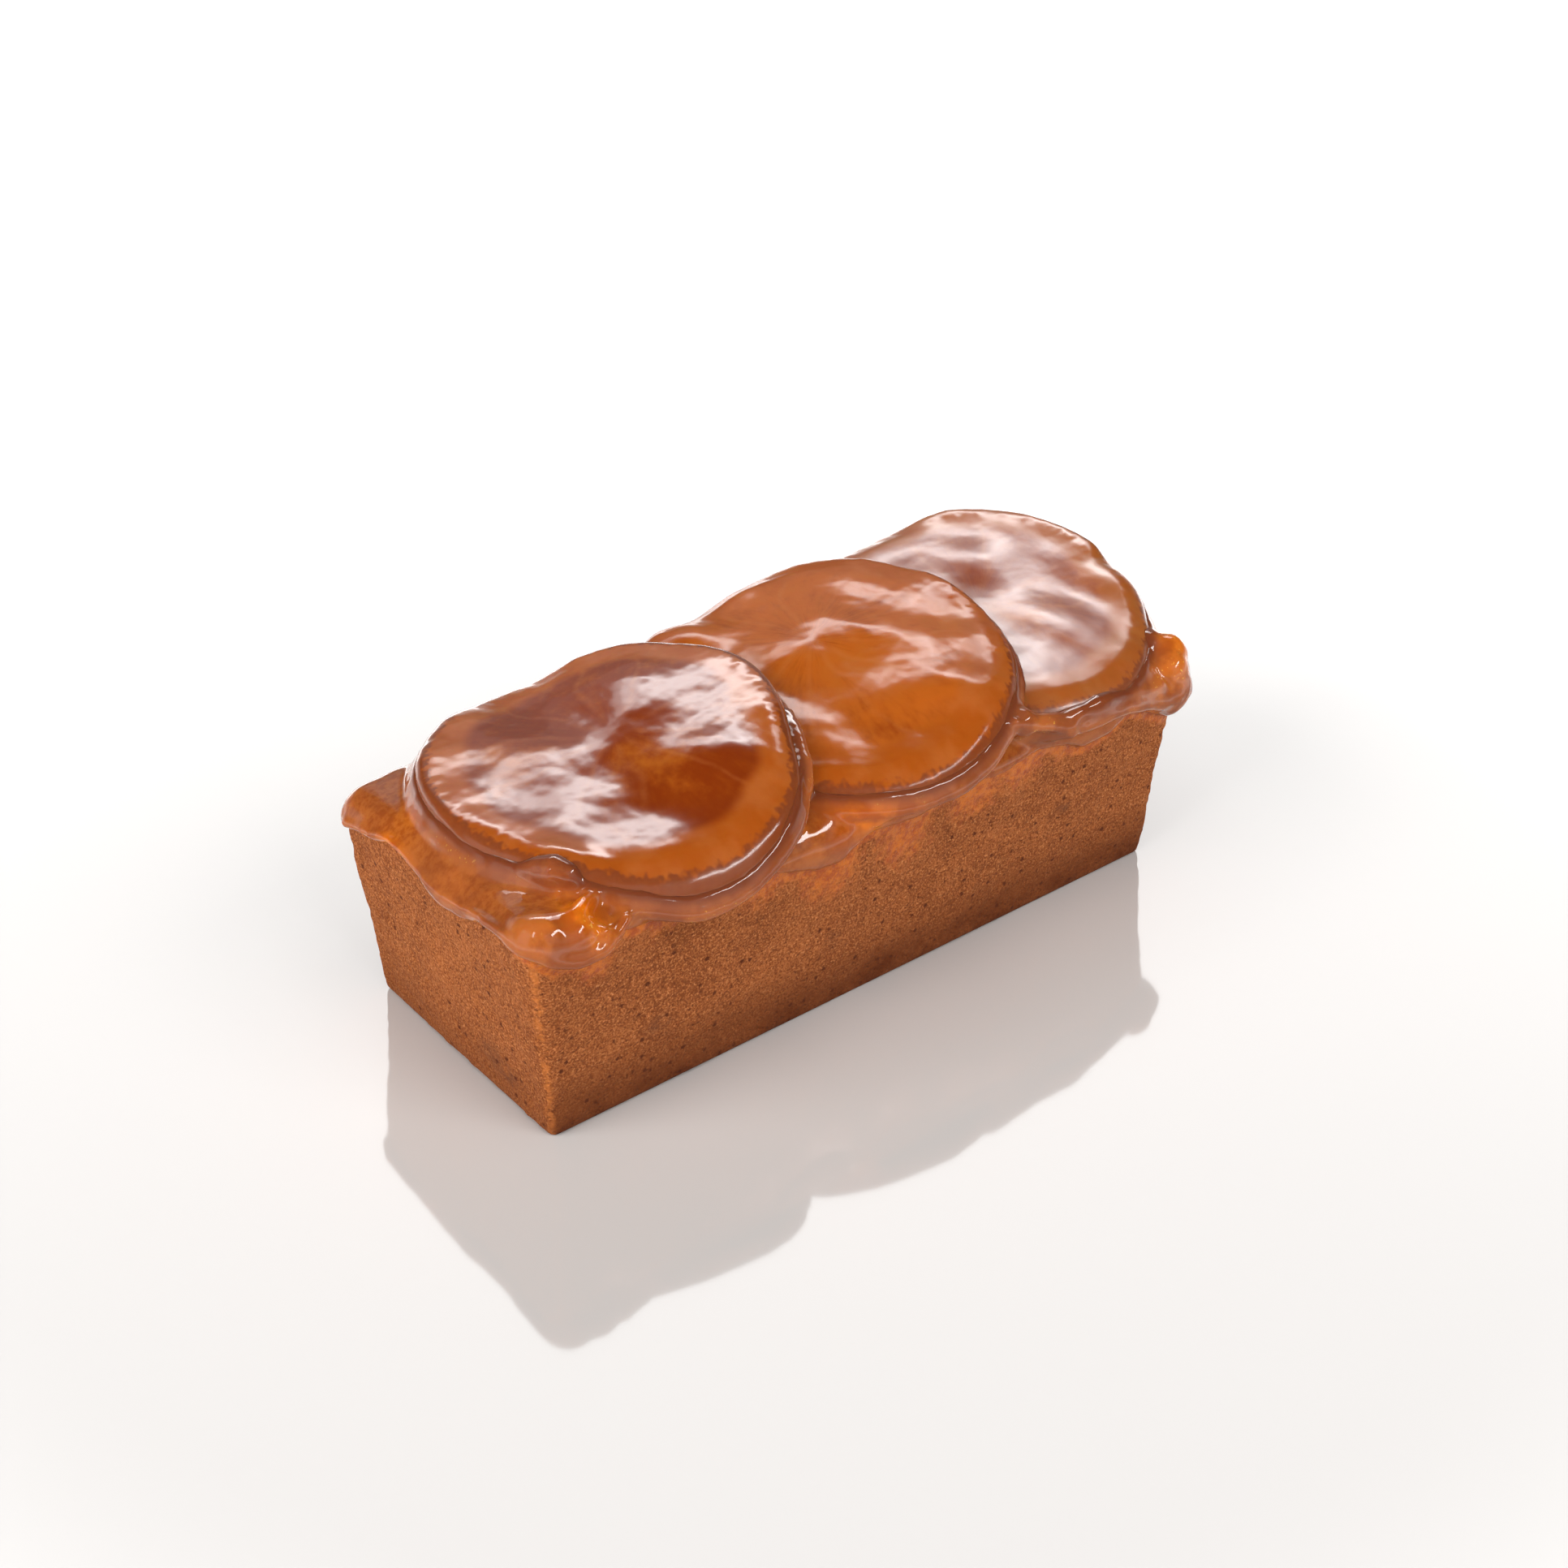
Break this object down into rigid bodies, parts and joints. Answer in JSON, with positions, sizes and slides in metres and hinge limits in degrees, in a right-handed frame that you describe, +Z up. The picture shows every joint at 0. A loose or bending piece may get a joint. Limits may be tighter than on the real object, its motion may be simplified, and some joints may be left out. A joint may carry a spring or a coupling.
{
  "type": "orange loaf cake",
  "caption": "Small oblong baked loaf with sloping sides under a jelly glaze that runs over the rim, topped with overlapping candied orange slices.",
  "frame": {"origin": "centre of the loaf's flat base", "axes": "+X along the loaf towards the lowest orange slice, -Y towards the long front face, +Z up"},
  "size_m": [0.1672, 0.0752, 0.0614],
  "materials": {
    "crust": "baked golden-brown crumb, matte",
    "jelly_glaze": "clear amber jelly, very glossy",
    "candied_orange": "candied orange under glossy jelly"
  },
  "bodies": {
    "root": {"cake": "crust", "glaze": "jelly_glaze", "orange_slice_left": "candied_orange", "orange_slice_middle": "candied_orange", "orange_slice_right": "candied_orange"}
  },
  "joints": []
}
